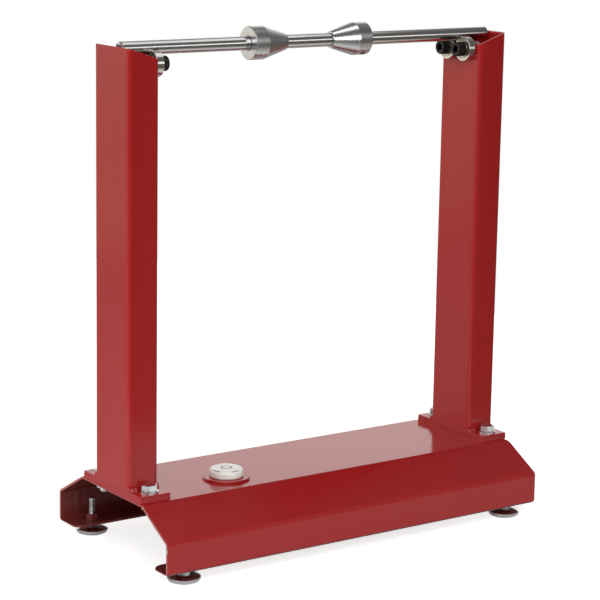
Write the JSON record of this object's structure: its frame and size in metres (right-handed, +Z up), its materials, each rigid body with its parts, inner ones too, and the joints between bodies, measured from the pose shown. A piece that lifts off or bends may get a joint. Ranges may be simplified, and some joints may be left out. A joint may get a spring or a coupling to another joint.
{
  "type": "wheel balancing stand",
  "caption": "Free-standing balancing stand: folded sheet base and hollow posts carry a ground shaft with locking cones on ball bearings, with a bull's-eye level and screw-adjusted feet.",
  "frame": {"origin": "on the floor under the middle of the base", "axes": "+X along the base from the left post to the right post, +Y to the back, +Z up; the bull's-eye level is on the front left of the base"},
  "size_m": [0.4, 0.1846, 0.4543],
  "materials": {
    "red_paint": "gloss powder coat",
    "zinc_steel": "bright zinc plate",
    "black_oxide": "black oxide",
    "ground_steel": "ground and polished",
    "turned_steel": "fine turned",
    "bearing_steel": "ground bearing steel",
    "shield_steel": "pressed shield",
    "cage_plastic": "moulded cage",
    "nickel": "nickel plate",
    "pad_plastic": "hard plastic glide",
    "clear_plastic": "clear acrylic",
    "white_plastic": "white backing",
    "level_fluid": "clear fluid"
  },
  "bodies": {
    "stand": {"base_channel": "red_paint", "left_foot_plate": "red_paint", "right_foot_plate": "red_paint", "left_post": "red_paint", "right_post": "red_paint", "foot_weld_nuts": "red_paint", "level_mount_disc": "red_paint", "plate_bolts": "zinc_steel", "plate_washers": "zinc_steel", "plate_nuts": "zinc_steel", "bearing_spacers": "zinc_steel", "bearing_screw_nuts": "zinc_steel", "bearing_screws": "black_oxide", "level_housing": "clear_plastic", "level_backing": "white_plastic", "level_fluid": "level_fluid", "bearing_left_front_inner_ring": "bearing_steel", "bearing_left_back_inner_ring": "bearing_steel", "bearing_right_front_inner_ring": "bearing_steel", "bearing_right_back_inner_ring": "bearing_steel"},
    "shaft": {"shaft": "ground_steel"},
    "left_cone": {"left_cone": "turned_steel", "left_cone_set_screw": "black_oxide"},
    "right_cone": {"right_cone": "turned_steel", "right_cone_set_screw": "black_oxide"},
    "bearing_left_front_ring": {"bearing_left_front_outer_ring": "bearing_steel", "bearing_left_front_shields": "shield_steel"},
    "bearing_left_front_cage": {"bearing_left_front_cage": "cage_plastic", "bearing_left_front_balls": "bearing_steel"},
    "bearing_left_back_ring": {"bearing_left_back_outer_ring": "bearing_steel", "bearing_left_back_shields": "shield_steel"},
    "bearing_left_back_cage": {"bearing_left_back_cage": "cage_plastic", "bearing_left_back_balls": "bearing_steel"},
    "bearing_right_front_ring": {"bearing_right_front_outer_ring": "bearing_steel", "bearing_right_front_shields": "shield_steel"},
    "bearing_right_front_cage": {"bearing_right_front_cage": "cage_plastic", "bearing_right_front_balls": "bearing_steel"},
    "bearing_right_back_ring": {"bearing_right_back_outer_ring": "bearing_steel", "bearing_right_back_shields": "shield_steel"},
    "bearing_right_back_cage": {"bearing_right_back_cage": "cage_plastic", "bearing_right_back_balls": "bearing_steel"},
    "foot_left_front_pad": {"foot_left_front_pad": "pad_plastic"},
    "foot_left_front_screw": {"foot_left_front_stud": "zinc_steel", "foot_left_front_cup": "nickel"},
    "foot_left_back_pad": {"foot_left_back_pad": "pad_plastic"},
    "foot_left_back_screw": {"foot_left_back_stud": "zinc_steel", "foot_left_back_cup": "nickel"},
    "foot_right_front_pad": {"foot_right_front_pad": "pad_plastic"},
    "foot_right_front_screw": {"foot_right_front_stud": "zinc_steel", "foot_right_front_cup": "nickel"},
    "foot_right_back_pad": {"foot_right_back_pad": "pad_plastic"},
    "foot_right_back_screw": {"foot_right_back_stud": "zinc_steel", "foot_right_back_cup": "nickel"}
  },
  "joints": [
    {"name": "shaft_spin", "type": "hinge", "parent": "stand", "child": "shaft", "pos_m": [0, 0, 0.4398], "axis": [1, 0, 0], "continuous": true},
    {"name": "left_cone_slide", "type": "slide", "parent": "shaft", "child": "left_cone", "axis": [-1, 0, 0], "range_m": [-0.022, 0.085]},
    {"name": "right_cone_slide", "type": "slide", "parent": "shaft", "child": "right_cone", "axis": [1, 0, 0], "range_m": [-0.022, 0.0915]},
    {"name": "bearing_left_front_ring_spin", "type": "hinge", "parent": "stand", "child": "bearing_left_front_ring", "pos_m": [-0.1655, -0.0116, 0.4273], "axis": [1, 0, 0], "continuous": true},
    {"name": "bearing_left_front_cage_spin", "type": "hinge", "parent": "stand", "child": "bearing_left_front_cage", "pos_m": [-0.1655, -0.0116, 0.4273], "axis": [1, 0, 0], "continuous": true},
    {"name": "bearing_left_back_ring_spin", "type": "hinge", "parent": "stand", "child": "bearing_left_back_ring", "pos_m": [-0.1655, 0.0116, 0.4273], "axis": [1, 0, 0], "continuous": true},
    {"name": "bearing_left_back_cage_spin", "type": "hinge", "parent": "stand", "child": "bearing_left_back_cage", "pos_m": [-0.1655, 0.0116, 0.4273], "axis": [1, 0, 0], "continuous": true},
    {"name": "bearing_right_front_ring_spin", "type": "hinge", "parent": "stand", "child": "bearing_right_front_ring", "pos_m": [0.1655, -0.0116, 0.4273], "axis": [1, 0, 0], "continuous": true},
    {"name": "bearing_right_front_cage_spin", "type": "hinge", "parent": "stand", "child": "bearing_right_front_cage", "pos_m": [0.1655, -0.0116, 0.4273], "axis": [1, 0, 0], "continuous": true},
    {"name": "bearing_right_back_ring_spin", "type": "hinge", "parent": "stand", "child": "bearing_right_back_ring", "pos_m": [0.1655, 0.0116, 0.4273], "axis": [1, 0, 0], "continuous": true},
    {"name": "bearing_right_back_cage_spin", "type": "hinge", "parent": "stand", "child": "bearing_right_back_cage", "pos_m": [0.1655, 0.0116, 0.4273], "axis": [1, 0, 0], "continuous": true},
    {"name": "foot_left_front_height", "type": "slide", "parent": "stand", "child": "foot_left_front_pad", "axis": [0, 0, -1], "range_m": [-0.0008, 0.012]},
    {"name": "foot_left_front_turn", "type": "hinge", "parent": "foot_left_front_pad", "child": "foot_left_front_screw", "pos_m": [-0.175, -0.078, 0], "axis": [0, 0, -1], "range_deg": [-288, 4320]},
    {"name": "foot_left_back_height", "type": "slide", "parent": "stand", "child": "foot_left_back_pad", "axis": [0, 0, -1], "range_m": [-0.0008, 0.012]},
    {"name": "foot_left_back_turn", "type": "hinge", "parent": "foot_left_back_pad", "child": "foot_left_back_screw", "pos_m": [-0.175, 0.078, 0], "axis": [0, 0, -1], "range_deg": [-288, 4320]},
    {"name": "foot_right_front_height", "type": "slide", "parent": "stand", "child": "foot_right_front_pad", "axis": [0, 0, -1], "range_m": [-0.0008, 0.012]},
    {"name": "foot_right_front_turn", "type": "hinge", "parent": "foot_right_front_pad", "child": "foot_right_front_screw", "pos_m": [0.175, -0.078, 0], "axis": [0, 0, -1], "range_deg": [-288, 4320]},
    {"name": "foot_right_back_height", "type": "slide", "parent": "stand", "child": "foot_right_back_pad", "axis": [0, 0, -1], "range_m": [-0.0008, 0.012]},
    {"name": "foot_right_back_turn", "type": "hinge", "parent": "foot_right_back_pad", "child": "foot_right_back_screw", "pos_m": [0.175, 0.078, 0], "axis": [0, 0, -1], "range_deg": [-288, 4320]}
  ],
  "couplings": [
    {"joint": "bearing_left_front_ring_spin", "follows": "shaft_spin", "ratio": -0.54546},
    {"joint": "bearing_left_front_cage_spin", "follows": "shaft_spin", "ratio": -0.34491},
    {"joint": "bearing_left_back_ring_spin", "follows": "shaft_spin", "ratio": -0.54546},
    {"joint": "bearing_left_back_cage_spin", "follows": "shaft_spin", "ratio": -0.34491},
    {"joint": "bearing_right_front_ring_spin", "follows": "shaft_spin", "ratio": -0.54546},
    {"joint": "bearing_right_front_cage_spin", "follows": "shaft_spin", "ratio": -0.34491},
    {"joint": "bearing_right_back_ring_spin", "follows": "shaft_spin", "ratio": -0.54546},
    {"joint": "bearing_right_back_cage_spin", "follows": "shaft_spin", "ratio": -0.34491},
    {"joint": "foot_left_front_height", "follows": "foot_left_front_turn", "m_per_rad": 0.00015915},
    {"joint": "foot_left_back_height", "follows": "foot_left_back_turn", "m_per_rad": 0.00015915},
    {"joint": "foot_right_front_height", "follows": "foot_right_front_turn", "m_per_rad": 0.00015915},
    {"joint": "foot_right_back_height", "follows": "foot_right_back_turn", "m_per_rad": 0.00015915}
  ]
}
